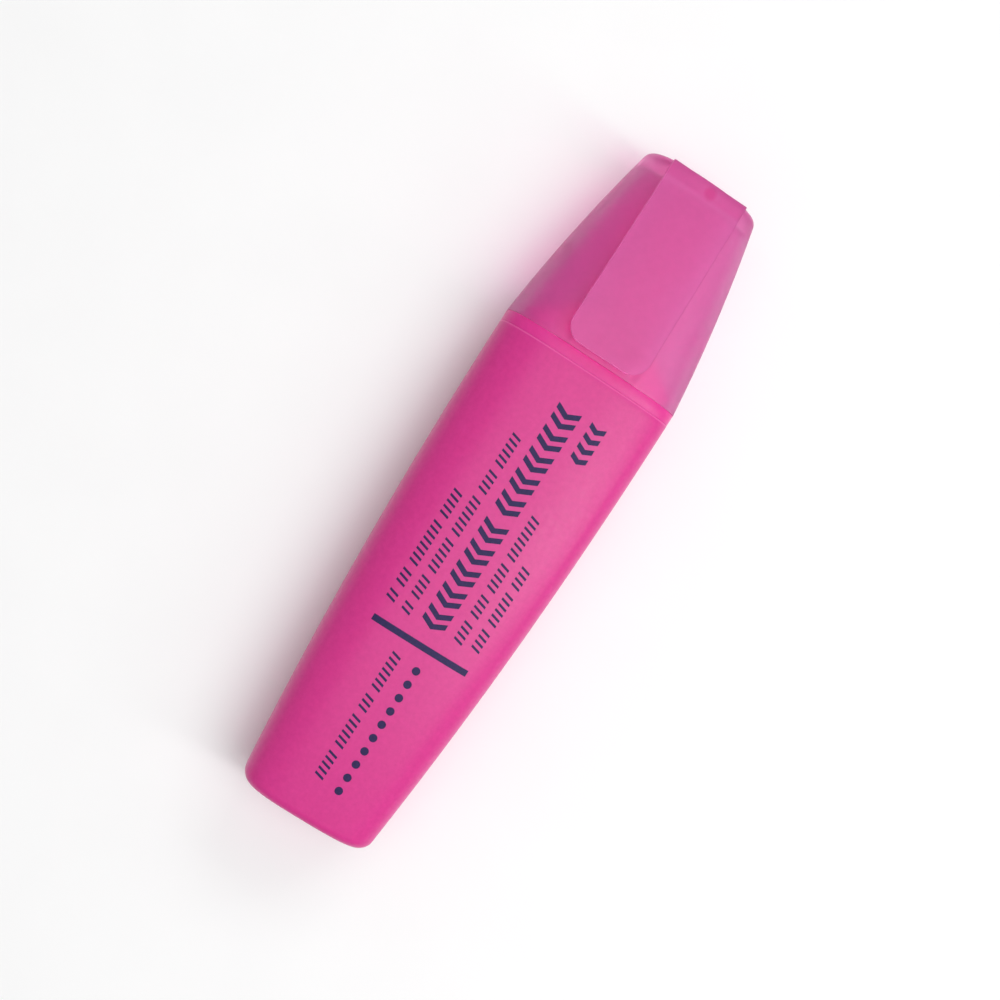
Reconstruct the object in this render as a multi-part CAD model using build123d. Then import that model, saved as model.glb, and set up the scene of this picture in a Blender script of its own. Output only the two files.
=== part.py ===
from build123d import *
import math
import os

# A flat, flask-shaped highlighter with its cap on, lying on its back. Millimetres, +Z up.
# X is across the body, Y runs along it from the tail to the cap, Z is through its thickness.
# The origin is on the surface it lies on, under the middle of the whole object's box.

# Overall sizes
length = 106.0
width = 28.1
thickness = 14.0
wall = 1.3
fit = 0.05
clear = 1.0  # how far a cutting shape, or a root sunk in a wall, runs past the face
plane_tolerance = 0.01

# Places along Y
tail_y = -length / 2
cap_end_y = length / 2
barrel_top_y = 21.25
cap_mouth_y = 22.9
mouth_gap = 0.08

# Outline: the oval section is cut flat along the back, so the object lies still
back_flat_depth = 0.1
half_thickness = (thickness + back_flat_depth) / 2
middle_z = half_thickness - back_flat_depth
tail_half_width = 10.4
side_arch = 2.1
tail_drop = 1.2
tail_taper_start_y = -20.0
mouth_half_width = 14.05
cap_width_drop = (2.95, 2.0)
cap_thickness_drop = (1.2, 0.5)
barrel_exponent = 3.0
cap_end_exponent = 2.1
section_steps = 16
barrel_stations = 8
cap_stations = 6

# Edges
tail_edge_radius = 2.2
cap_edge_radius = 0.6
seam_edge_radius = 0.2

# Front section
flange_step = 0.05
skirt_end_y = 14.5
skirt_wall = 1.1
neck_half_width = 12.0
neck_half_thickness = 5.1
neck_straight = 1.7
bead_height = 0.25
bead_start = 0.6
bead_length = 0.8
bead_crest = (0.35, 0.65)
shoulder_length = 4.4
collar_half_width = 4.3
collar_half_thickness = 3.2
collar_length = 5.0
# The shoulder's sections: share of its length, half width, half thickness, exponent
shoulder_sections = (
    (0.0, neck_half_width, neck_half_thickness, barrel_exponent),
    (0.3, 10.8, 4.85, 2.8),
    (0.7, 8.4, 4.35, 2.5),
    (1.0, 7.2, 4.1, 2.3),
)

# Nib
nib_width = 5.2
nib_thickness = 3.4
nib_corner = 0.8
nib_tail_y = 5.5
nib_tip_y = 41.7
nib_slant = 1.9
nib_bevel_length = 5.0
nib_edge_thickness = 1.1
nib_wedge_length = 3.0

# Ink reservoir
reservoir_start_y = -47.0
reservoir_end_y = 13.5
reservoir_width = 18.4
reservoir_thickness = 8.8
film_thickness = 0.25
cradle_rib_width = 1.0
cradle_rib_xs = (-6.0, 0.0, 6.0)
tail_floor = 1.6
tail_stop_thickness = 1.0

# Cap
cap_cavity_end_y = 50.1
grip_rib_length = 5.0
grip_rib_width = 0.9
face_rib_xs = (-5.5, 5.5)
face_rib_foot = 4.1
liner_ring_wall = 0.8
liner_ring_length = 2.6
lug_start_y = 32.6
lug_length = 2.2
lug_inner_x = 9.9
lug_width = 5.2

# Cap liner
liner_rim_y = 31.4
liner_rim_half_width = 5.3
liner_rim_half_thickness = 4.2
liner_end_half_width = 4.6
liner_end_half_thickness = 3.3
liner_exponent = 2.6
liner_wall = 0.7
liner_top_wall = 1.0
liner_flange_length = 2.4
liner_flange_height = 0.9

# Clip
clip_top_width = 12.1
clip_bottom_width = 12.7
clip_top_y = 52.5
clip_bottom_y = 23.7
clip_corner = 2.8
clip_thickness = 1.0
clip_face_top = 6.6
clip_face_bottom = 8.7
clip_face_bulge = 0.25
clip_pivot_y = 51.4
clip_pivot_height = 5.4
clip_pivot_radius = 1.1
clip_edge_radius = 0.25
clip_grip_y = 26.4
clip_grip_radius = 0.55


def half_oval(y, reach_x, reach_z, exponent, start):
    """The upper (start 0) or lower (start pi) half of a superellipse section across the body."""
    turns = [start + math.pi * i / section_steps for i in range(section_steps + 1)]
    points = []
    for turn in turns:
        across = math.cos(turn)
        up = math.sin(turn)
        reach = (abs(across) ** exponent + abs(up) ** exponent) ** (-1 / exponent)
        points.append((reach_x * reach * across, y, middle_z + reach_z * reach * up))
    rise = reach_z if start == 0 else -reach_z
    return Edge.make_spline(
        points,
        tangents=[(0, 0, rise), (0, 0, -rise)],
        parameters=turns,
        scale=False,
    )


def oval(y, reach_x, reach_z, exponent):
    """A closed superellipse section across the body at y, centred on the middle plane."""
    size = (y, reach_x, reach_z, exponent)
    return Wire([half_oval(*size, 0.0), half_oval(*size, math.pi)])


def loft_ovals(sections, ruled=False):
    """A solid through (y, half width, half thickness, exponent) sections."""
    return Solid.make_loft([oval(*section) for section in sections], ruled)


def barrel_outline(y, inset=0.0):
    """The barrel's outside at y, or a surface inset from it: an arching taper to the tail."""
    along = max(0.0, (barrel_top_y - y) / (barrel_top_y - tail_y))
    reach_x = width / 2 - (width / 2 - tail_half_width) * along**side_arch
    taper = max(0.0, (tail_taper_start_y - y) / (tail_taper_start_y - tail_y))
    reach_z = half_thickness - tail_drop * taper**2
    return (y, reach_x - inset, reach_z - inset, barrel_exponent)


def cap_outline(y, inset=0.0):
    """The outside of the cap at y, and of the room for it just below its mouth."""
    along = (y - cap_mouth_y) / (cap_end_y - cap_mouth_y)
    reach_x = mouth_half_width - cap_width_drop[0] * along - cap_width_drop[1] * along**2
    inward = max(0.0, along)
    reach_z = half_thickness - cap_thickness_drop[0] * inward - cap_thickness_drop[1] * inward**2
    exponent = barrel_exponent + (cap_end_exponent - barrel_exponent) * inward
    return (y, reach_x - inset, reach_z - inset, exponent)


def spread(start, end, count):
    """Evenly spaced places from start to end, both included."""
    return [start + (end - start) * i / (count - 1) for i in range(count)]


def slab(x_from, x_to, y_from, y_to, z_from, z_to):
    """A box between two corners, with z measured from the middle plane."""
    box = Box(x_to - x_from, y_to - y_from, z_to - z_from)
    return Pos((x_from + x_to) / 2, (y_from + y_to) / 2, middle_z + (z_from + z_to) / 2) * box


def slot_prism(y_from, y_to, full_width, full_thickness):
    """A prism along Y with a stadium section."""
    plane = Plane((0, y_from, middle_z), x_dir=(1, 0, 0), z_dir=(0, 1, 0))
    return extrude(plane * SlotOverall(full_width, full_thickness), y_to - y_from)


def flat_backed(solid):
    """The solid cut flat at the surface that it lies on."""
    return solid - Pos(0, 0, -thickness / 2) * Box(2 * width, 2 * length, thickness)


def edges_at(shape, y):
    """The outermost closed edge of the shape in the plane at y."""
    flat = shape.edges().filter_by_position(Axis.Y, y - plane_tolerance, y + plane_tolerance)
    return flat.sort_by(SortBy.LENGTH)[-1:]


def barrel_ribs():
    """Ribs inside the barrel that cradle the reservoir, and stops that keep it off the tail."""
    ribs = None
    inner = reservoir_thickness / 2 + fit
    for x in cradle_rib_xs:
        for side in (-1, 1):
            low, high = sorted((side * inner, side * thickness / 2))
            rib = slab(
                x - cradle_rib_width / 2,
                x + cradle_rib_width / 2,
                tail_y,
                skirt_end_y - clear,
                low,
                high,
            )
            ribs = rib if ribs is None else ribs + rib
    for x in cradle_rib_xs:
        stop = slab(
            x - tail_stop_thickness / 2,
            x + tail_stop_thickness / 2,
            tail_y,
            reservoir_start_y - fit,
            -thickness / 2,
            thickness / 2,
        )
        ribs = ribs + stop
    return ribs


def make_barrel():
    outside_ys = spread(tail_y, barrel_top_y, barrel_stations)
    outside = loft_ovals([barrel_outline(y) for y in outside_ys])
    outside = outside.fillet(tail_edge_radius, edges_at(outside, tail_y))
    outside = outside.fillet(seam_edge_radius, edges_at(outside, barrel_top_y))
    bore_ys = spread(tail_y + tail_floor, barrel_top_y + clear, barrel_stations)
    cavity = loft_ovals([barrel_outline(y, wall) for y in bore_ys])
    return flat_backed(outside) - (cavity - barrel_ribs())


def neck_room(extra, y_from, y_to):
    """A straight oval prism that is larger than the neck by extra."""
    size = (neck_half_width + extra, neck_half_thickness + extra, barrel_exponent)
    return loft_ovals([(y_from, *size), (y_to, *size)], ruled=True)


def nib_prism(y_from, y_to, extra=0.0):
    """A prism along Y with the nib's rounded rectangular section, larger by extra all round."""
    plane = Plane((0, y_from, middle_z), x_dir=(1, 0, 0), z_dir=(0, 1, 0))
    section = RectangleRounded(nib_width + 2 * extra, nib_thickness + 2 * extra, nib_corner)
    return extrude(plane * section, y_to - y_from)


def snap_bead():
    """The raised ring round the neck that the cap's ribs ride over."""
    start = cap_mouth_y + bead_start
    profile = ((0.0, 0.0), (bead_crest[0], bead_height), (bead_crest[1], bead_height), (1.0, 0.0))
    ring = []
    for share, height in profile:
        size = (neck_half_width + height, neck_half_thickness + height, barrel_exponent)
        ring.append((start + share * bead_length, *size))
    return loft_ovals(ring, ruled=True)


def make_front_section():
    shoulder_y = cap_mouth_y + neck_straight
    collar_y = shoulder_y + shoulder_length
    flange_size = (width / 2 - flange_step, middle_z, barrel_exponent)
    flange = loft_ovals([(y, *flange_size) for y in (barrel_top_y, cap_mouth_y)], ruled=True)
    flange = flange.fillet(seam_edge_radius, edges_at(flange, barrel_top_y))
    skirt_ys = (skirt_end_y, barrel_top_y + fit)
    skirt = loft_ovals([barrel_outline(y, wall + fit) for y in skirt_ys], ruled=True)
    neck = neck_room(0.0, cap_mouth_y - fit, shoulder_y)
    shoulder = loft_ovals(
        [(shoulder_y + share * shoulder_length, *size) for share, *size in shoulder_sections]
    )
    collar_size = (2 * collar_half_width, 2 * collar_half_thickness)
    collar = slot_prism(collar_y, collar_y + collar_length, *collar_size)
    hollow_ys = (skirt_end_y - clear, cap_mouth_y - wall)
    hollow = loft_ovals(
        [barrel_outline(y, wall + fit + skirt_wall) for y in hollow_ys], ruled=True
    )
    guide_tube = slot_prism(skirt_end_y - 2 * clear, cap_mouth_y, *collar_size)
    nib_hole = nib_prism(skirt_end_y - 3 * clear, collar_y + collar_length + clear, fit)
    body = flange + skirt + neck + snap_bead() + shoulder + collar
    return body - (hollow - guide_tube) - nib_hole


def make_nib():
    """A rectangular felt stick: wedge tail below, chisel tip above."""
    stick = nib_prism(nib_tail_y, nib_tip_y)
    half = nib_thickness / 2
    edge = nib_edge_thickness / 2
    side = Plane.YZ * Polygon(
        (nib_tip_y, edge),
        (nib_tip_y - nib_bevel_length, half),
        (nib_tail_y + nib_wedge_length, half),
        (nib_tail_y, edge),
        (nib_tail_y, -edge),
        (nib_tail_y + nib_wedge_length, -half),
        (nib_tip_y - nib_bevel_length, -half),
        (nib_tip_y, -edge),
        align=None,
    )
    side_prism = Pos(0, 0, middle_z) * extrude(side, nib_width, both=True)
    half_width = nib_width / 2
    top = Polygon(
        (-half_width, nib_tail_y),
        (half_width, nib_tail_y),
        (half_width, nib_tip_y - nib_slant),
        (-half_width, nib_tip_y),
        align=None,
    )
    top_prism = extrude(top, thickness)
    return stick & side_prism & top_prism


def make_reservoir_film():
    outside = slot_prism(reservoir_start_y, reservoir_end_y, reservoir_width, reservoir_thickness)
    inside = slot_prism(
        reservoir_start_y - clear,
        reservoir_end_y + clear,
        reservoir_width - 2 * film_thickness,
        reservoir_thickness - 2 * film_thickness,
    )
    return outside - inside


def make_reservoir_core():
    shrink = 2 * (film_thickness + fit / 2)
    core = slot_prism(
        reservoir_start_y,
        reservoir_end_y,
        reservoir_width - shrink,
        reservoir_thickness - shrink,
    )
    return core - nib_prism(nib_tail_y - fit, reservoir_end_y + clear, fit)


def grip_ribs():
    """Short ribs at the cap's mouth that hold the neck: one each side and two on each face."""
    y_from = cap_mouth_y + 2 * mouth_gap
    y_to = y_from + grip_rib_length
    half = grip_rib_width / 2
    ribs = None
    for side in (-1, 1):
        low, high = sorted((side * neck_half_width, side * mouth_half_width))
        rib = slab(low, high, y_from, y_to, -half, half)
        ribs = rib if ribs is None else ribs + rib
        low, high = sorted((side * face_rib_foot, side * thickness / 2))
        for x in face_rib_xs:
            ribs = ribs + slab(x - half, x + half, y_from, y_to, low, high)
    return ribs - neck_room(bead_height + fit, y_from - clear, y_to + clear)


def liner_outline(y, extra=0.0):
    """The outside of the cap liner at y, larger by extra: a gentle taper to its closed end."""
    along = (y - liner_rim_y) / (cap_cavity_end_y - liner_rim_y)
    reach_x = liner_rim_half_width + (liner_end_half_width - liner_rim_half_width) * along
    reach_z = liner_rim_half_thickness + (liner_end_half_thickness - liner_rim_half_thickness) * along
    return (y, reach_x + extra, reach_z + extra, liner_exponent)


def liner_ring():
    """The low wall on the inside of the cap's end that the liner is pressed into."""
    ys = (cap_cavity_end_y - liner_ring_length, cap_cavity_end_y + clear)
    outside = loft_ovals([liner_outline(y, fit + liner_ring_wall) for y in ys], ruled=True)
    inside = loft_ovals([liner_outline(y, fit) for y in ys], ruled=True)
    return outside - inside


def side_lugs():
    """Solid lugs inside the cap's two sides that stiffen it half-way along."""
    left = slab(
        -mouth_half_width,
        -lug_inner_x,
        lug_start_y,
        lug_start_y + lug_length,
        -lug_width / 2,
        lug_width / 2,
    )
    return left + left.mirror(Plane.YZ)


def clip_pivot(radius, half_length):
    """A round bar along X on the clip's pivot line."""
    bar = Cylinder(radius, 2 * half_length, rotation=(0, 90, 0))
    return Pos(0, clip_pivot_y, middle_z + clip_pivot_height) * bar


def make_cap_shell():
    mouth_y = cap_mouth_y + mouth_gap
    outside = loft_ovals([cap_outline(y) for y in spread(mouth_y, cap_end_y, cap_stations)])
    outside = outside.fillet(cap_edge_radius, edges_at(outside, cap_end_y))
    outside = outside.fillet(seam_edge_radius, edges_at(outside, mouth_y))
    cavity_ys = spread(mouth_y - clear, cap_cavity_end_y, cap_stations)
    cavity = loft_ovals([cap_outline(y, wall) for y in cavity_ys])
    cavity = cavity - grip_ribs() - liner_ring() - side_lugs()
    shell = flat_backed(outside) - cavity
    return shell - clip_pivot(clip_pivot_radius + fit, clip_top_width / 2 + fit)


def make_cap_liner():
    flange_y = liner_rim_y + liner_flange_length
    ys = (liner_rim_y, cap_cavity_end_y - fit)
    body = loft_ovals([liner_outline(y) for y in ys], ruled=True)
    flange = loft_ovals(
        [liner_outline(y, liner_flange_height) for y in (liner_rim_y, flange_y)], ruled=True
    )
    cup_ys = (liner_rim_y - clear, cap_cavity_end_y - fit - liner_top_wall)
    cup = loft_ovals([liner_outline(y, -liner_wall) for y in cup_ys], ruled=True)
    return body + flange - cup


def clip_side_profile():
    """The clip seen from the side: a gently arched blade of even thickness."""
    middle_y = (clip_top_y + clip_bottom_y) / 2
    middle_height = (clip_face_top + clip_face_bottom) / 2 + clip_face_bulge
    top = (clip_top_y, clip_face_top)
    bottom = (clip_bottom_y, clip_face_bottom)
    middle = (middle_y, middle_height)
    down = clip_thickness
    front = ThreePointArc(top, middle, bottom)
    back = ThreePointArc(
        (bottom[0], bottom[1] - down), (middle[0], middle[1] - down), (top[0], top[1] - down)
    )
    end = Line(bottom, (bottom[0], bottom[1] - down))
    start = Line((top[0], top[1] - down), top)
    return make_face([front, end, back, start])


def clip_front_outline():
    """The clip seen from the front: straight top edge, two rounded lower corners."""
    outline = Polygon(
        (-clip_top_width / 2, clip_top_y + clear),
        (-clip_bottom_width / 2, clip_bottom_y),
        (clip_bottom_width / 2, clip_bottom_y),
        (clip_top_width / 2, clip_top_y + clear),
        align=None,
    )
    corners = outline.vertices().sort_by(Axis.Y)[:2]
    return fillet(corners, clip_corner)


def make_clip():
    blade = Pos(0, 0, middle_z) * extrude(Plane.YZ * clip_side_profile(), width, both=True)
    blade = blade & extrude(clip_front_outline(), 2 * thickness)
    front_edges = blade.faces().sort_by(Axis.Z)[-1].edges()
    blade = fillet(front_edges, clip_edge_radius)
    grip_height = middle_z + clip_face_bottom - clip_thickness
    grip = Pos(0, clip_grip_y, grip_height) * Cylinder(
        clip_grip_radius, clip_bottom_width - 2 * clip_corner, rotation=(0, 90, 0)
    )
    return blade + grip + clip_pivot(clip_pivot_radius, clip_top_width / 2)


parts = {
    "barrel": make_barrel,
    "front_section": make_front_section,
    "nib": make_nib,
    "reservoir_core": make_reservoir_core,
    "reservoir_film": make_reservoir_film,
    "cap_shell": make_cap_shell,
    "cap_liner": make_cap_liner,
    "clip": make_clip,
}

os.makedirs("parts", exist_ok=True)
for name, make in parts.items():
    export_step(make(), "parts/" + name + ".step")
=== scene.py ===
import bmesh
import bpy
import math
from mathutils import Matrix, Vector


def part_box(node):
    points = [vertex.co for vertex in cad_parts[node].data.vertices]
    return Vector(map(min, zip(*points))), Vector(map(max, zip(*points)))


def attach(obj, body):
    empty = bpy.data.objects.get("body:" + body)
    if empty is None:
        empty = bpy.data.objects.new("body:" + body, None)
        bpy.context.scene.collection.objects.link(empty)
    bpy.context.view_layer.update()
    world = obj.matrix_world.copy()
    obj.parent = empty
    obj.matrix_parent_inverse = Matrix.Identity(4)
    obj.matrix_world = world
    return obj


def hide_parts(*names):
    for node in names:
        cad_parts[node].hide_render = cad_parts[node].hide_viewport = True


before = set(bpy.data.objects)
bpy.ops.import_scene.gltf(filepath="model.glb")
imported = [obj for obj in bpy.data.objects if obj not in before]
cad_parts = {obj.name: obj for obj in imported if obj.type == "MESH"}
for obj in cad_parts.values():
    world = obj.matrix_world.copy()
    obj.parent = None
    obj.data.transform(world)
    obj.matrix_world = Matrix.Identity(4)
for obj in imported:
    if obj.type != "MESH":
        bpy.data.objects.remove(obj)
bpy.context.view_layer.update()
scene = bpy.context.scene
scene.view_settings.view_transform = "Standard"

# Metres. The object lies on its back: X is across it, Y runs to the cap's end, Z is up.
mm = 0.001

# Points in each ring across the object
around = 256

# Places and sizes read from the frame
barrel_low, barrel_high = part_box("barrel")
cap_low, cap_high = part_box("cap_shell")
front_low, front_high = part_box("front_section")
clip_low, clip_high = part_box("clip")
nib_low, nib_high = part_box("nib")
liner_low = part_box("cap_liner")[0]
tail_y = barrel_low.y
seam_y = barrel_high.y
mouth_y = cap_low.y
end_y = cap_high.y
half_width = barrel_high.x

# The common section: a superellipse round middle_z, cut flat at back_z
half_thickness = 7.05 * mm
middle_z = 6.95 * mm
back_z = 0.0
wall = 1.3 * mm
fit = 0.05 * mm

# The barrel: its sides arch in and its faces drop towards the tail
barrel_exponent = 3.0
tail_half_width = 10.4 * mm
side_arch = 2.1
tail_drop = 1.2 * mm
tail_taper_start_y = -20 * mm
tail_wall = 1.6 * mm
tail_corner = 1.8 * mm
tail_face_edge = 1.2 * mm
barrel_edge = 0.1 * mm

# The front section: half width, half thickness and exponent of each length
flange_top_y = mouth_y - 0.02 * mm
flange_step = 0.02 * mm
flange_seam_edge = 0.03 * mm
flange_top_edge = 0.04 * mm
neck = (12.0 * mm, 5.1 * mm, barrel_exponent)
shoulder_end = (7.2 * mm, 4.1 * mm, 2.3)
collar = (4.3 * mm, 3.2 * mm, 2.6)
nib_hole = (2.65 * mm, 1.75 * mm, 6.0)
snap_ring_above = 1.0 * mm
snap_ring_height = 0.25 * mm
snap_ring_spread = 0.28 * mm
shoulder_above = 1.7 * mm
shoulder_length = 4.4 * mm
collar_y = flange_top_y + 6.1 * mm
collar_edge = 0.3 * mm

# The cap: the first number of each drop is its slope, the second its curve
mouth_half_width = 14.05 * mm
cap_width_drop = (2.95 * mm, 2.0 * mm)
cap_thickness_drop = (1.2 * mm, 0.5 * mm)
cap_end_exponent = 2.1
cap_mouth_edge = 0.05 * mm
cap_end_corner = 1.1 * mm
cap_end_edge = 0.6 * mm
cap_floor_y = 50.1 * mm
liner_seat_depth = 2.6 * mm
liner_seat_wall = 0.8 * mm
liner_mouth = (5.3 * mm, 4.2 * mm)
liner_taper = (0.7 * mm, 0.9 * mm)
liner_exponent = 2.6
lug_middle_y = 33.7 * mm
lug_half_length = 1.3 * mm
lug_half_width = 2.8 * mm
lug_edge = 0.8 * mm
lug_inner_x = 9.9 * mm
grip_rib_start_y = mouth_y + 0.1 * mm
grip_rib_end_y = mouth_y + 5.1 * mm
grip_rib_half_width = 0.45 * mm
grip_rib_room = (12.3 * mm, 5.4 * mm)
face_rib_x = 5.5 * mm
gate_place = (0.7 * mm, 51.2 * mm)
gate_reach = 1.5 * mm

# The clip
clip_pivot_y = 51.4 * mm
clip_pivot_z = middle_z + 5.4 * mm
clip_pivot_radius = 1.1 * mm
clip_top_half_width = 6.05 * mm
clip_flare = 0.3 * mm
clip_arch = 0.25 * mm
clip_corner = 2.8 * mm
clip_thickness = 1.0 * mm
clip_face_bottom = clip_high.z - 0.01 * mm - middle_z
clip_face_top = clip_face_bottom - 2.1 * mm
clip_edge = 0.25 * mm
grip_swell_y = 26.4 * mm
grip_swell_half_length = 2.2 * mm
grip_swell_half_width = 5.0 * mm
grip_swell_side_slope = 3.0 * mm
grip_swell_height = 0.3 * mm

# The nib
nib_exponent = 7.0
nib_slant = 1.9 * mm
nib_edge_half_thickness = 0.55 * mm
nib_wedge_length = 3.0 * mm
nib_bevel_length = 5.0 * mm

# Ink stands this far out of the barrel and reaches this far into it
ink_lift = 0.02 * mm
ink_sink = 0.04 * mm

polypropylene_ior = 1.49


# ---------------------------------------------------------------- shapes

def oval(y, width, thickness, exponent):
    """A closed ring across the object at y: a superellipse, cut flat along the back."""
    ring = []
    for i in range(around):
        turn = 2 * math.pi * i / around
        across = math.cos(turn)
        up = math.sin(turn)
        reach = (abs(across) ** exponent + abs(up) ** exponent) ** (-1 / exponent)
        z = max(back_z, middle_z + thickness * reach * up)
        ring.append(Vector((width * reach * across, y, z)))
    return ring


def barrel_size(y):
    """Half width, half thickness and exponent of the barrel's outside at y."""
    along = max(0.0, (seam_y - y) / (seam_y - tail_y))
    taper = max(0.0, (tail_taper_start_y - y) / (tail_taper_start_y - tail_y))
    width = half_width - (half_width - tail_half_width) * along**side_arch
    return width, half_thickness - tail_drop * taper**2, barrel_exponent


def cap_size(y):
    """Half width, half thickness and exponent of the outside of the cap at y."""
    along = max(0.0, (y - mouth_y) / (end_y - mouth_y))
    width = mouth_half_width - cap_width_drop[0] * along - cap_width_drop[1] * along**2
    thickness = half_thickness - cap_thickness_drop[0] * along - cap_thickness_drop[1] * along**2
    return width, thickness, barrel_exponent + (cap_end_exponent - barrel_exponent) * along


def flange_size(y):
    """The band between barrel and cap, a hair smaller than the barrel."""
    return half_width - flange_step, half_thickness - flange_step, barrel_exponent


def ring_at(size, y, inset=0.0):
    """A ring of the outside that size describes, drawn in all round by inset."""
    width, thickness, exponent = size(y)
    return oval(y, width - inset, thickness - inset, exponent)


def spread(start, end, count):
    """Evenly spaced values from start to end, both included."""
    return [start + (end - start) * i / (count - 1) for i in range(count)]


def walls(size, y_from, y_to, count, inset=0.0):
    """Evenly spaced rings from y_from to y_to."""
    return [ring_at(size, y, inset) for y in spread(y_from, y_to, count)]


def rounded_edge(size, y_edge, towards, radius, inset=0.0, steps=6):
    """Rings round the edge between a wall and the flat end at y_edge, from the wall to the flat."""
    rings = []
    for turn in spread(0.0, math.pi / 2, steps):
        y = y_edge - towards * radius * (1 - math.sin(turn))
        rings.append(ring_at(size, y, inset + radius * (1 - math.cos(turn))))
    return rings


def rounded_end(size, y_end, towards, side_radius, face_radius, steps=14):
    """Rings round a closed end: its corners have side_radius, its front and back face_radius."""
    rings = []
    for turn in spread(0.0, math.pi / 2, steps)[::-1]:
        deep = side_radius * (1 - math.cos(turn))
        width, thickness, exponent = size(y_end - towards * deep)
        side, face = (
            radius - math.sqrt(radius**2 - max(0.0, radius - deep) ** 2)
            for radius in (side_radius, face_radius)
        )
        rings.append(oval(y_end - towards * deep, width - side, thickness - face, exponent))
    return rings


def disc(size, y, side_inset, face_inset=None):
    """Rings that close a flat end, from its rim to near its centre."""
    width, thickness, exponent = size(y)
    width -= side_inset
    thickness -= side_inset if face_inset is None else face_inset
    shares = (0.985, 0.9, 0.7, 0.45, 0.2)
    return [oval(y, width * share, thickness * share, exponent) for share in shares]


def skin(name, rings, looped=False):
    """A closed mesh through rings of equal count. Its ends close at a point, or meet if looped."""
    points = [point for ring in rings for point in ring]
    faces = []
    last = len(rings) if looped else len(rings) - 1
    for i in range(last):
        here = i * around
        there = ((i + 1) % len(rings)) * around
        for j in range(around):
            k = (j + 1) % around
            faces.append((here + j, here + k, there + k, there + j))
    if not looped:
        for start, flip in ((0, True), ((len(rings) - 1) * around, False)):
            ring = points[start:start + around]
            centre = sum(ring, Vector()) / around
            points.append(centre)
            for j in range(around):
                k = (j + 1) % around
                face = (start + j, start + k, len(points) - 1)
                faces.append(face[::-1] if flip else face)
    return new_mesh(name, points, faces)


def slab_faces(rows, columns, start=0):
    """Faces of a closed sheet whose points are a front grid and then a back grid of equal size."""
    faces = []
    back = rows * columns
    for i in range(rows - 1):
        for j in range(columns - 1):
            a = start + i * columns + j
            quad = (a, a + 1, a + columns + 1, a + columns)
            faces.append(quad)
            faces.append(tuple(v + back for v in quad[::-1]))
        left = start + i * columns
        right = left + columns - 1
        faces.append((left, left + columns, left + columns + back, left + back))
        faces.append((right, right + back, right + columns + back, right + columns))
    for row in (0, rows - 1):
        for j in range(columns - 1):
            a = start + row * columns + j
            faces.append((a, a + back, a + back + 1, a + 1))
    return faces


def new_mesh(name, points, faces):
    """A smooth-shaded object with this mesh."""
    mesh = bpy.data.meshes.new(name)
    mesh.from_pydata([tuple(point) for point in points], [], faces)
    mesh.validate()
    mesh.polygons.foreach_set("use_smooth", [True] * len(mesh.polygons))
    piece = bpy.data.objects.new(name, mesh)
    scene.collection.objects.link(piece)
    return piece


def outward(piece):
    """Turns every face of a closed mesh to point out of it."""
    work = bmesh.new()
    work.from_mesh(piece.data)
    bmesh.ops.recalc_face_normals(work, faces=work.faces)
    work.to_mesh(piece.data)
    work.free()
    return piece


def barrel_skin():
    """The hollow barrel: its inside from the tail up, its rim, its outside and its tail."""
    floor_y = tail_y + tail_wall
    rings = disc(barrel_size, floor_y, wall)[::-1]
    rings += walls(barrel_size, floor_y, seam_y, 40, wall)
    rings += rounded_edge(barrel_size, seam_y, 1, barrel_edge, steps=5)[::-1]
    rings += walls(barrel_size, seam_y - barrel_edge, tail_y + tail_corner, 90)[1:-1]
    rings += rounded_end(barrel_size, tail_y, -1, tail_corner, tail_face_edge)
    rings += disc(barrel_size, tail_y, tail_corner, tail_face_edge)
    return outward(skin("barrel_shell", rings))


def neck_size(y):
    """The neck's outside, with its snap ring, then the shoulder that slopes to the collar."""
    above = y - flange_top_y
    width, thickness, exponent = neck
    bead = snap_ring_height * math.exp(-(((above - snap_ring_above) / snap_ring_spread) ** 2))
    slope = min(1.0, max(0.0, (above - shoulder_above) / shoulder_length))
    ease = slope ** 1.3 * (1.6 - 0.6 * slope)
    width += bead - (width - shoulder_end[0]) * ease
    thickness += bead - (thickness - shoulder_end[1]) * slope**1.5
    return width, thickness, exponent - (exponent - shoulder_end[2]) * slope


def front_section_skin():
    """The nib's hole, the skirt in the barrel, the flange, the neck, the shoulder, the collar."""
    top_y = front_high.y
    rings = [oval(y, *nib_hole) for y in spread(top_y - 0.1 * mm, front_low.y, 12)]
    rings += walls(barrel_size, front_low.y, seam_y, 6, wall + fit)
    rings += rounded_edge(flange_size, seam_y, -1, flange_seam_edge, steps=4)[::-1]
    rings += rounded_edge(flange_size, flange_top_y, 1, flange_top_edge, steps=4)
    rings += walls(neck_size, flange_top_y, collar_y, 40)
    rings += [oval(y, *collar) for y in spread(collar_y, top_y - collar_edge, 10)]
    width, thickness, exponent = collar
    for share in (0.5, 1.0):
        inset = collar_edge * share
        y = top_y - collar_edge * (1 - share)
        rings.append(oval(y, width - inset, thickness - inset, exponent))
    return outward(skin("front_section_body", rings, looped=True))


def liner_size(y):
    """The outside of the cap's liner at y."""
    along = (y - liner_low.y) / (cap_floor_y - liner_low.y)
    width = liner_mouth[0] - liner_taper[0] * along
    thickness = liner_mouth[1] - liner_taper[1] * along
    return width, thickness, liner_exponent


def rise(value, soft):
    """0 below zero, 1 past soft, and a smooth step between."""
    share = min(1.0, max(0.0, value / soft))
    return share * share * (3 - 2 * share)


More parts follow.
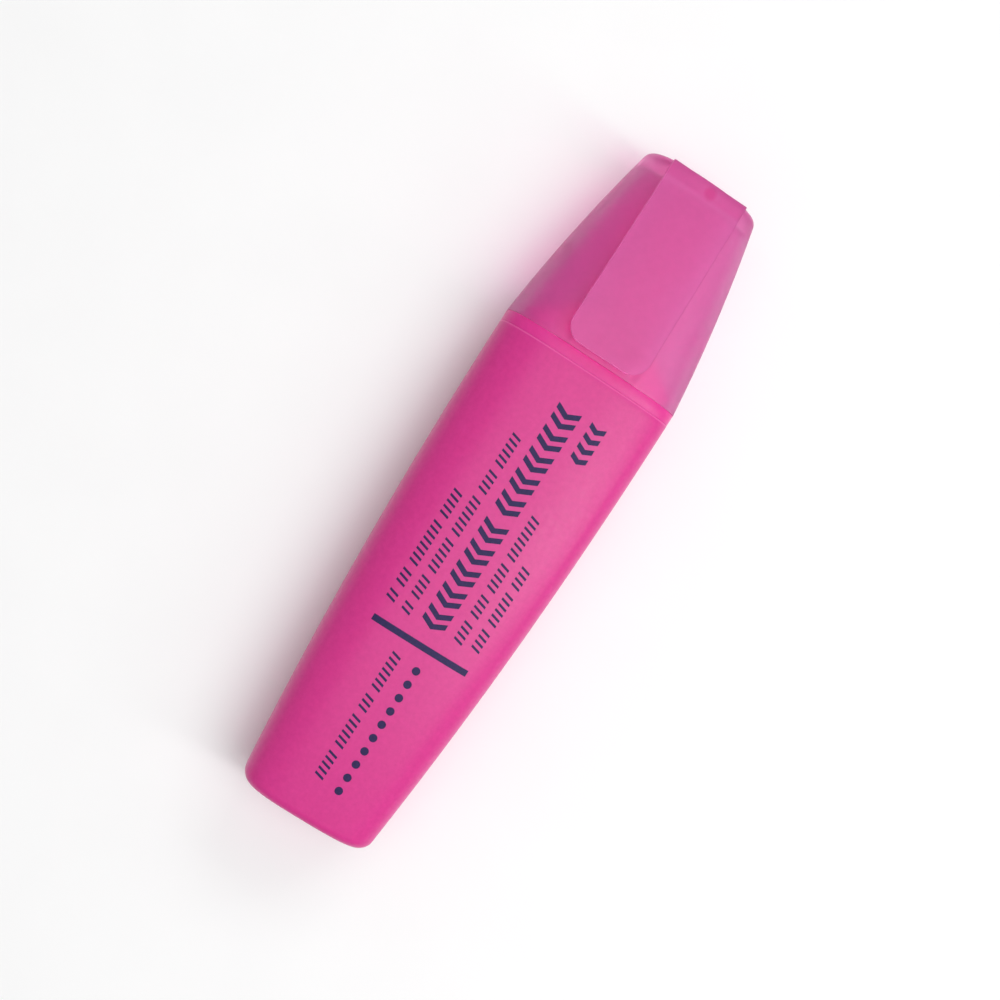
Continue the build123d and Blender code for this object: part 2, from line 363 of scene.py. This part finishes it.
def cavity_ring(y):
    """A ring of the cap's inside, with the side lugs and, near the mouth, the grip ribs."""
    ring = ring_at(cap_size, y, wall)
    in_lug = rise(lug_half_length - abs(y - lug_middle_y), lug_edge)
    for point in ring:
        reach = abs(point.x) - lug_inner_x
        height = in_lug * rise(lug_half_width - abs(point.z - middle_z), lug_edge)
        if reach > 0:
            point.x = math.copysign(lug_inner_x + reach * (1 - height), point.x)
    if not grip_rib_start_y < y < grip_rib_end_y:
        return ring
    room = oval(y, *grip_rib_room, barrel_exponent)
    half_rib = grip_rib_half_width
    for i, point in enumerate(ring):
        up = point.z - middle_z
        on_side = abs(up) < half_rib
        on_face = abs(abs(point.x) - face_rib_x) < half_rib and abs(up) > half_rib
        if on_side or on_face:
            ring[i] = Vector((room[i].x, y, room[i].z))
    return ring


def cap_skin():
    """The hollow cap: the liner's seat, the inside down to the mouth, the outside and the end."""
    seat_y = cap_floor_y - liner_seat_depth
    lug_top_y = lug_middle_y + lug_half_length
    lug_foot_y = lug_middle_y - lug_half_length
    rings = disc(liner_size, cap_floor_y, -fit)[::-1]
    rings += walls(liner_size, cap_floor_y, seat_y, 5, -fit)
    rings += walls(liner_size, seat_y, cap_floor_y, 5, -fit - liner_seat_wall)
    inside = spread(cap_floor_y, lug_top_y, 24)
    inside += spread(lug_top_y, lug_foot_y, 24)[1:]
    inside += spread(lug_foot_y, grip_rib_end_y + 0.1 * mm, 8)[1:]
    inside += spread(grip_rib_end_y - 0.05 * mm, grip_rib_start_y + 0.05 * mm, 8)
    inside.append(mouth_y)
    rings += [cavity_ring(y) for y in inside]
    rings += rounded_edge(cap_size, mouth_y, -1, cap_mouth_edge, steps=5)[::-1]
    rings += walls(cap_size, mouth_y + cap_mouth_edge, end_y - cap_end_corner, 70)[1:-1]
    rings += rounded_end(cap_size, end_y, 1, cap_end_corner, cap_end_edge)
    rings += disc(cap_size, end_y, cap_end_corner, cap_end_edge)
    return outward(skin("cap_body", rings))


# ---------------------------------------------------------------- clip

def clip_face_z(y):
    """Height of the clip's front face at y: a gently arched line."""
    along = (clip_high.y - y) / (clip_high.y - clip_low.y)
    bulge = 4 * clip_arch * along * (1 - along)
    return middle_z + clip_face_top + (clip_face_bottom - clip_face_top) * along + bulge


def clip_half_width(y):
    """Half the clip's width at y, drawn in at its two rounded lower corners."""
    along = (clip_high.y - y) / (clip_high.y - clip_low.y)
    straight = clip_top_half_width + clip_flare * along
    above = y - clip_low.y
    if above >= clip_corner:
        return straight
    return straight - clip_corner + math.sqrt(clip_corner**2 - (clip_corner - above) ** 2)


def clip_back_z(x, y):
    """Height of the clip's back at x, y: the pivot bar at the top, a low swell near the end."""
    z = clip_face_z(y) - clip_thickness
    from_pivot = abs(y - clip_pivot_y)
    if from_pivot < clip_pivot_radius:
        z = min(z, clip_pivot_z - math.sqrt(clip_pivot_radius**2 - from_pivot**2))
    along = rise(grip_swell_half_length - abs(y - grip_swell_y), grip_swell_half_length)
    across = rise(grip_swell_half_width - abs(x), grip_swell_side_slope)
    return z - grip_swell_height * along * across


def clip_blade():
    """The clip: a closed sheet with rounded lower corners and bevelled edges."""
    columns = 33
    corner_rows = [
        clip_low.y + clip_corner * (1 - math.cos(turn)) for turn in spread(0, math.pi / 2, 14)
    ]
    ys = corner_rows + spread(clip_low.y + clip_corner, clip_high.y, 130)[1:]
    grid = [(share * clip_half_width(y), y) for y in ys for share in spread(-1, 1, columns)]
    points = [(x, y, clip_face_z(y)) for x, y in grid]
    points += [(x, y, clip_back_z(x, y)) for x, y in grid]
    piece = outward(new_mesh("clip_blade", points, slab_faces(len(ys), columns)))
    bevel = piece.modifiers.new("edges", "BEVEL")
    bevel.width = clip_edge
    bevel.segments = 3
    bevel.limit_method = "ANGLE"
    bevel.angle_limit = math.radians(50)
    bevel.harden_normals = True
    return piece


# ---------------------------------------------------------------- nib

def nib_ring(y, width, thickness, slanted=0.0):
    """A ring of the nib, leaning by this share of the tip's slant."""
    ring = oval(y, width, thickness, nib_exponent)
    for point in ring:
        point.y -= slanted * nib_slant * (point.x / nib_high.x + 1) / 2
    return ring


def nib_body():
    """The nib: a wedge-shaped tail, a straight stick, and a slanted chisel with softened edges."""
    width = nib_high.x
    thickness = (nib_high.z - nib_low.z) / 2
    edge = nib_edge_half_thickness
    side_softening = 0.2 * mm
    edge_softening = 0.12 * mm
    tip_y = nib_high.y
    wedge_y = nib_low.y + nib_wedge_length
    bevel_y = tip_y - nib_bevel_length
    rings = [nib_ring(nib_low.y, width * s, edge * s) for s in (0.3, 0.7, 0.95, 1.0)]
    rings.append(nib_ring(wedge_y, width, thickness))
    for y in spread(wedge_y + 0.5 * mm, bevel_y - 1.0 * mm, 20):
        rings.append(nib_ring(y, width, thickness))
    for share in spread(0.0, 1.0, 12):
        side = width - side_softening * share**4
        thick = thickness + (edge - thickness) * share - edge_softening * share**6
        rings.append(nib_ring(bevel_y + nib_bevel_length * share, side, thick, share))
    edge -= edge_softening
    rings += [nib_ring(tip_y, width * s, edge * s, 1.0) for s in (0.9, 0.6, 0.3)]
    return outward(skin("nib_felt_tip", rings))


# ---------------------------------------------------------------- printed marks

def barrel_top_z(x, y):
    """Height of the barrel's front face at x, y."""
    width, thickness, exponent = barrel_size(y)
    share = min(1.0, abs(x) / width)
    return middle_z + thickness * (1 - share**exponent) ** (1 / exponent)


def mark(name, outlines):
    """One thin closed ink mark made of patches. Each patch is a grid of (x, y) points in mm."""
    points = []
    faces = []
    for grid in outlines:
        faces += slab_faces(len(grid), len(grid[0]), start=len(points))
        for lift in (ink_lift, -ink_sink):
            for row in grid:
                for x, y in row:
                    points.append((x * mm, y * mm, barrel_top_z(x * mm, y * mm) + lift))
    piece = outward(new_mesh(name, points, faces))
    piece.data.polygons.foreach_set("use_smooth", [False] * len(piece.data.polygons))
    return piece


def bar(x_from, x_to, y_from, y_to, lean=0.0, spacing=0.5):
    """A patch between two corners, leaning along y by lean from its left side to its right."""
    columns = max(2, int(abs(x_to - x_from) / spacing) + 1)
    rows = max(2, int(abs(y_to - y_from) / spacing) + 1)
    grid = []
    for y in spread(y_from, y_to, rows):
        row = []
        for x in spread(x_from, x_to, columns):
            row.append((x, y + lean * (x - x_from) / (x_to - x_from)))
        grid.append(row)
    return grid


def dot(x, y, radius):
    """A round patch: a square grid drawn out to a circle."""
    grid = []
    for v in spread(-1, 1, 9):
        row = []
        for u in spread(-1, 1, 9):
            reach = max(abs(u), abs(v))
            length = math.hypot(u, v)
            scale = radius * reach / length if length else 0.0
            row.append((x + u * scale, y + v * scale))
        grid.append(row)
    return grid


def chevron(x_from, x_to, y, thickness, bend):
    """A patch bent in the middle: its middle stands lower than its ends by bend."""
    middle = (x_from + x_to) / 2
    half = (x_to - x_from) / 2
    return [
        [(x, edge - bend * (1 - abs(x - middle) / half)) for x in spread(x_from, x_to, 9)]
        for edge in spread(y, y - thickness, 3)
    ]


def strokes(x_from, x_to, y_start, y_end, groups):
    """A line of short leaning strokes down the barrel, in groups with a gap after each."""
    thickness, pitch, gap, lean = 0.36, 0.88, 0.75, -0.42
    patches = []
    y = y_start
    turn = 0
    while y - thickness + lean > y_end:
        for i in range(groups[turn % len(groups)]):
            if y - thickness + lean > y_end:
                patches.append(bar(x_from, x_to, y, y - thickness, lean=lean))
            y -= pitch
        y -= gap
        turn += 1
    return patches


def printed_marks():
    """The plain marks on the barrel's front, in mm: left, right and then places along y."""
    bold_left, bold_right, bold_thickness, bold_bend = -1.46, 2.27, 0.85, 0.9
    bold_starts, bold_pair_pitch, bold_pair_gap = (15.6, -3.1), 3.55, 1.55
    small_left, small_right, small_thickness, small_bend = 3.9, 6.4, 0.8, 0.6
    small_start, small_pitch = 15.7, 1.6
    dot_x, dot_start, dot_pitch, dot_radius = 1.93, -26.6, 2.21, 0.6
    stroke_lines = (
        (-4.6, -3.1, 8.6, -20.9, (6, 4, 7)),
        (-7.3, -5.8, -2.2, -21.0, (5, 8, 3)),
        (3.85, 5.35, 0.3, -20.9, (8, 5, 4)),
        (6.6, 8.1, -6.35, -20.9, (4, 6, 5)),
        (-2.3, -0.8, -25.8, -47.2, (7, 3, 6)),
    )
    bold = [
        chevron(bold_left, bold_right, start - bold_pair_pitch * i - gap, bold_thickness, bold_bend)
        for start in bold_starts
        for i in range(5)
        for gap in (0.0, bold_pair_gap)
    ]
    fine = [patch for line in stroke_lines for patch in strokes(*line)]
    small = [
        chevron(small_left, small_right, small_start - small_pitch * i, small_thickness, small_bend)
        for i in range(4)
    ]
    dots = [dot(dot_x, dot_start - dot_pitch * i, dot_radius) for i in range(10)]
    return [
        mark("print_bold_chevrons", bold),
        mark("print_fine_strokes", fine),
        mark("print_small_chevrons", small),
        mark("print_cross_bar", [bar(-7.25, 8.2, -22.8, -23.75, spacing=0.4)]),
        mark("print_dots", dots),
    ]


# ---------------------------------------------------------------- materials

def material(name):
    """A new material, its node tree and its Principled shader."""
    made = bpy.data.materials.new(name)
    made.use_nodes = True
    tree = made.node_tree
    return made, tree, tree.nodes["Principled BSDF"]


def noise(tree, scale, detail=2.0, roughness=0.5):
    """Object-space noise; scale is in features per metre."""
    coords = tree.nodes.new("ShaderNodeTexCoord")
    node = tree.nodes.new("ShaderNodeTexNoise")
    node.inputs["Scale"].default_value = scale
    node.inputs["Detail"].default_value = detail
    node.inputs["Roughness"].default_value = roughness
    tree.links.new(coords.outputs["Object"], node.inputs["Vector"])
    return node.outputs["Fac"]


def ramp(tree, source, stops):
    """A colour between the two stops, each of them a value and the colour there."""
    node = tree.nodes.new("ShaderNodeValToRGB")
    for element, (place, colour) in zip(node.color_ramp.elements, stops):
        element.position = place
        element.color = (*colour, 1)
    tree.links.new(source, node.inputs["Fac"])
    return node.outputs["Color"]


def span(tree, source, low, high):
    """Maps a 0.3 to 0.7 value to the range low to high."""
    node = tree.nodes.new("ShaderNodeMapRange")
    node.inputs["From Min"].default_value = 0.3
    node.inputs["From Max"].default_value = 0.7
    node.inputs["To Min"].default_value = low
    node.inputs["To Max"].default_value = high
    tree.links.new(source, node.inputs["Value"])
    return node.outputs["Result"]


def bump(tree, shader, source, distance):
    """Gives the shader a relief of this height."""
    node = tree.nodes.new("ShaderNodeBump")
    node.inputs["Distance"].default_value = distance
    node.inputs["Strength"].default_value = 1.0
    tree.links.new(source, node.inputs["Height"])
    tree.links.new(node.outputs["Normal"], shader.inputs["Normal"])


def step(tree, source, start, end, height):
    """Rises smoothly from 0 at start to height at end."""
    node = tree.nodes.new("ShaderNodeMapRange")
    node.interpolation_type = "SMOOTHSTEP"
    node.inputs["From Min"].default_value = start
    node.inputs["From Max"].default_value = end
    node.inputs["To Max"].default_value = height
    tree.links.new(source, node.inputs["Value"])
    return node.outputs["Result"]


def place_in_object(tree):
    """The shaded point in its object's own space, and its y alone."""
    point = tree.nodes.new("ShaderNodeTexCoord").outputs["Object"]
    parts = tree.nodes.new("ShaderNodeSeparateXYZ")
    tree.links.new(point, parts.inputs["Vector"])
    return point, parts.outputs["Y"]


def painted_seam_highlight(tree, colour, rim):
    """The colour, turning to rim along the barrel's top edge: a painted highlight standing in for
    the light that edge catches.
    """
    along = place_in_object(tree)[1]
    share = step(tree, along, seam_y - 0.3 * mm, seam_y - 0.1 * mm, 1.0)
    blend = tree.nodes.new("ShaderNodeMix")
    blend.data_type = "RGBA"
    # A Mix node has several sockets of one name, so its colour sockets go by number
    factor, first, second, result = 0, 6, 7, 2
    tree.links.new(share, blend.inputs[factor])
    tree.links.new(colour, blend.inputs[first])
    blend.inputs[second].default_value = (*rim, 1)
    return blend.outputs[result]


def moulded_plastic(name, light, dark, roughness, rim=None):
    """Satin polypropylene: a slightly mottled colour, fine grain and uneven gloss."""
    made, tree, shader = material(name)
    mottle = noise(tree, 1300, 3.0, 0.6)
    colour = ramp(tree, mottle, [(0.3, dark), (0.7, light)])
    # rim is a painted highlight along the barrel's top edge
    if rim:
        colour = painted_seam_highlight(tree, colour, rim)
    tree.links.new(colour, shader.inputs["Base Color"])
    # Spots smoother than about 0.28 would show as dark specks
    tree.links.new(
        span(tree, noise(tree, 1500, 3.0), roughness - 0.03, roughness + 0.05),
        shader.inputs["Roughness"],
    )
    bump(tree, shader, noise(tree, 3400, 3.0), 0.008 * mm)
    shader.inputs["IOR"].default_value = polypropylene_ior
    shader.inputs["Specular IOR Level"].default_value = 0.38
    shader.inputs["Subsurface Weight"].default_value = 0.15
    shader.inputs["Subsurface Radius"].default_value = (1.0, 0.25, 0.4)
    shader.inputs["Subsurface Scale"].default_value = 0.8 * mm
    return made


def thick_end(tree):
    """0 to 1 where the cap's solid end and its moulding gate show a deeper colour."""
    point, along = place_in_object(tree)
    end = step(tree, along, cap_floor_y - 0.3 * mm, cap_floor_y + 0.5 * mm, 0.32)
    flat = tree.nodes.new("ShaderNodeVectorMath")
    flat.operation = "MULTIPLY"
    flat.inputs[1].default_value = (1, 1, 0)
    tree.links.new(point, flat.inputs[0])
    reach = tree.nodes.new("ShaderNodeVectorMath")
    reach.operation = "DISTANCE"
    reach.inputs[1].default_value = (*gate_place, 0)
    tree.links.new(flat.outputs["Vector"], reach.inputs[0])
    gate = step(tree, reach.outputs["Value"], gate_reach, 0.3 * gate_reach, 1.0)
    deeper = tree.nodes.new("ShaderNodeMath")
    deeper.operation = "MAXIMUM"
    tree.links.new(end, deeper.inputs[0])
    tree.links.new(gate, deeper.inputs[1])
    return deeper.outputs["Value"]


def frosted_plastic(name, light, dark, tint, shade, clear_share, roughness, deep_tint=None):
    """Translucent polypropylene: part milky colour, part rough glass. Lamps shine through it,
    and each surface they pass multiplies their light by shade."""
    made, tree, milky = material(name)
    mottle = noise(tree, 1100, 3.0, 0.5)
    tree.links.new(ramp(tree, mottle, [(0.3, dark), (0.7, light)]), milky.inputs["Base Color"])
    glass = tree.nodes.new("ShaderNodeBsdfPrincipled")
    glass.inputs["Base Color"].default_value = (*tint, 1)
    glass.inputs["Transmission Weight"].default_value = 1.0
    if deep_tint:
        tree.links.new(
            ramp(tree, thick_end(tree), [(0.0, tint), (1.0, deep_tint)]),
            glass.inputs["Base Color"],
        )
    gloss = span(tree, noise(tree, 1800, 2.0), roughness - 0.04, roughness + 0.04)
    grain = noise(tree, 4200, 2.0)
    for shader in (milky, glass):
        shader.inputs["IOR"].default_value = polypropylene_ior
        tree.links.new(gloss, shader.inputs["Roughness"])
        bump(tree, shader, grain, 0.005 * mm)
    body = mix(tree, clear_share, milky, glass)
    through = tree.nodes.new("ShaderNodeBsdfTransparent")
    through.inputs["Color"].default_value = (*shade, 1)
    whole = mix(tree, 0.5, body, through)
    rays = tree.nodes.new("ShaderNodeLightPath")
    tree.links.new(rays.outputs["Is Shadow Ray"], whole.inputs["Fac"])
    tree.links.new(whole.outputs["Shader"], tree.nodes["Material Output"].inputs["Surface"])
    return made


def mix(tree, share, first, second):
    """A Mix Shader node with this share of the second shader."""
    node = tree.nodes.new("ShaderNodeMixShader")
    node.inputs["Fac"].default_value = share
    for shader, socket in ((first, node.inputs[1]), (second, node.inputs[2])):
        tree.links.new(shader.outputs[0], socket)
    return node


def felt(name, light, dark):
    """Ink-soaked fibre: streaks along the fibres and a rough, fuzzy surface."""
    made, tree, shader = material(name)
    coords = tree.nodes.new("ShaderNodeTexCoord")
    stretch = tree.nodes.new("ShaderNodeMapping")
    stretch.inputs["Scale"].default_value = (1.0, 0.12, 1.0)
    streaks = tree.nodes.new("ShaderNodeTexNoise")
    streaks.inputs["Scale"].default_value = 7000
    streaks.inputs["Detail"].default_value = 4
    tree.links.new(coords.outputs["Object"], stretch.inputs["Vector"])
    tree.links.new(stretch.outputs["Vector"], streaks.inputs["Vector"])
    tree.links.new(
        ramp(tree, streaks.outputs["Fac"], [(0.32, dark), (0.68, light)]),
        shader.inputs["Base Color"],
    )
    bump(tree, shader, streaks.outputs["Fac"], 0.04 * mm)
    shader.inputs["Roughness"].default_value = 0.85
    shader.inputs["Sheen Weight"].default_value = 0.3
    return made


def printed_ink(name):
    """Pad-printed navy ink: matte-satin, a little uneven in density."""
    made, tree, shader = material(name)
    density = noise(tree, 2600, 4.0, 0.6)
    tree.links.new(
        ramp(tree, density, [(0.3, (0.013, 0.006, 0.062)), (0.72, (0.026, 0.012, 0.100))]),
        shader.inputs["Base Color"],
    )
    shader.inputs["Roughness"].default_value = 0.5
    shader.inputs["Specular IOR Level"].default_value = 0.3
    bump(tree, shader, noise(tree, 6000, 2.0), 0.003 * mm)
    return made


def paint(piece, made):
    """Gives the piece this material alone."""
    piece.data.materials.clear()
    piece.data.materials.append(made)


# ---------------------------------------------------------------- the object

# The barrel's rim colour is a painted highlight along its top edge
barrel_plastic = moulded_plastic(
    "barrel_plastic", (0.705, 0.038, 0.276), (0.65, 0.031, 0.252), 0.32, rim=(0.83, 0.10, 0.38)
)
front_plastic = moulded_plastic("front_plastic", (0.76, 0.037, 0.299), (0.72, 0.032, 0.278), 0.32)
cap_plastic, clip_plastic = (
    frosted_plastic(
        name,
        light=light,
        dark=dark,
        tint=(1.0, 0.77, 0.91),
        shade=shade,
        clear_share=0.64,
        roughness=0.42,
        deep_tint=(0.93, 0.12, 0.50),
    )
    for name, light, dark, shade in (
        ("cap_plastic", (0.72, 0.068, 0.40), (0.63, 0.050, 0.35), (0.87, 0.60, 0.79)),
        # The clip is the cap's plastic, but its colour is painted paler and bluer, as painted
        # light; its darker shade lets less lamp light through it, for a deeper shadow under it
        ("clip_plastic", (0.71, 0.098, 0.43), (0.62, 0.072, 0.37), (0.80, 0.32, 0.61)),
    )
)
liner_plastic = frosted_plastic(
    "liner_plastic",
    light=(0.90, 0.30, 0.55),
    dark=(0.84, 0.25, 0.50),
    tint=(1.0, 0.80, 0.90),
    shade=(0.92, 0.72, 0.82),
    clear_share=0.5,
    roughness=0.5,
)
film_plastic = frosted_plastic(
    "film_plastic",
    light=(0.88, 0.35, 0.60),
    dark=(0.82, 0.30, 0.54),
    tint=(1.0, 0.85, 0.92),
    shade=(1.0, 0.85, 0.92),
    clear_share=0.8,
    roughness=0.15,
)
nib_felt = felt("nib_felt", (0.95, 0.10, 0.36), (0.72, 0.03, 0.2))
reservoir_fibre = felt("reservoir_fibre", (0.95, 0.18, 0.44), (0.8, 0.08, 0.3))
ink = printed_ink("print_ink")

for made, body, nodes, slot, look in (
    (barrel_skin(), "barrel", ["barrel"], "barrel_plastic", barrel_plastic),
    (front_section_skin(), "barrel", ["front_section"], "front_plastic", front_plastic),
    (nib_body(), "barrel", ["nib"], "nib_felt", nib_felt),
    (cap_skin(), "cap", ["cap_shell"], "cap_plastic", cap_plastic),
    (clip_blade(), "clip", ["clip"], "cap_plastic", clip_plastic),
):
    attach(made, body)
    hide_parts(*nodes)
    paint(made, look)

for made in printed_marks():
    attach(made, "barrel")
    paint(made, ink)

for node, look in (
    ("reservoir_core", reservoir_fibre),
    ("reservoir_film", film_plastic),
    ("cap_liner", liner_plastic),
):
    paint(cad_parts[node], look)


# ---------------------------------------------------------------- stage, light and camera

def pale_floor():
    """A square of white paper under the object."""
    half_side = 2.0
    corners = ((-1, -1), (1, -1), (1, 1), (-1, 1))
    points = [(x * half_side, y * half_side, 0) for x, y in corners]
    floor = new_mesh("floor", points, [(0, 1, 2, 3)])
    made, tree, shader = material("floor_paper")
    tone = noise(tree, 60, 3.0)
    tree.links.new(
        ramp(tree, tone, [(0.3, (0.97, 0.97, 0.97)), (0.7, (0.985, 0.985, 0.985))]),
        shader.inputs["Base Color"],
    )
    shader.inputs["Roughness"].default_value = 0.9
    shader.inputs["Specular IOR Level"].default_value = 0.1
    paint(floor, made)


def soft_light(name, place, width, height, watts):
    """A rectangular lamp at place that points at the object."""
    lamp = bpy.data.lights.new(name, "AREA")
    lamp.shape = "RECTANGLE"
    lamp.size = width
    lamp.size_y = height
    lamp.energy = watts
    lamp_object = bpy.data.objects.new(name, lamp)
    lamp_object.location = place
    lamp_object.rotation_euler = (-Vector(place)).to_track_quat("-Z", "Y").to_euler()
    scene.collection.objects.link(lamp_object)


def camera():
    """Above the clip's face, turned a little about the long axis, and rolled as in the view."""
    aim = Vector((-0.00029, -0.00032, middle_z))
    distance = 0.220
    swing = math.radians(6.5)
    roll = math.radians(32.6)
    back = Vector((-math.sin(swing), 0, math.cos(swing)))
    level_up = Vector((0, 1, 0))
    level_right = level_up.cross(back).normalized()
    up = level_up * math.cos(roll) - level_right * math.sin(roll)
    right = up.cross(back).normalized()
    lens = bpy.data.cameras.new("camera")
    lens.sensor_width = 36
    lens.lens = 55.4
    lens.clip_start = 0.01
    view = bpy.data.objects.new("camera", lens)
    view.matrix_world = Matrix.Translation(aim + back * distance) @ Matrix(
        (right, up, back)
    ).transposed().to_4x4()
    scene.collection.objects.link(view)
    scene.camera = view


def white_room(strength):
    """Even white light from all round."""
    world = bpy.data.worlds.new("studio")
    world.use_nodes = True
    background = world.node_tree.nodes["Background"]
    background.inputs["Color"].default_value = (1, 1, 1, 1)
    background.inputs["Strength"].default_value = strength
    scene.world = world


pale_floor()
white_room(0.43)
soft_light("key", (0.415, 0.0, 0.46), width=0.07, height=0.7, watts=1.12)
soft_light("top", (0.28, 0.0, 0.85), width=0.6, height=1.1, watts=3.3)
soft_light("back", (0.1, 0.7, 0.5), width=0.6, height=0.25, watts=1.5)
camera()
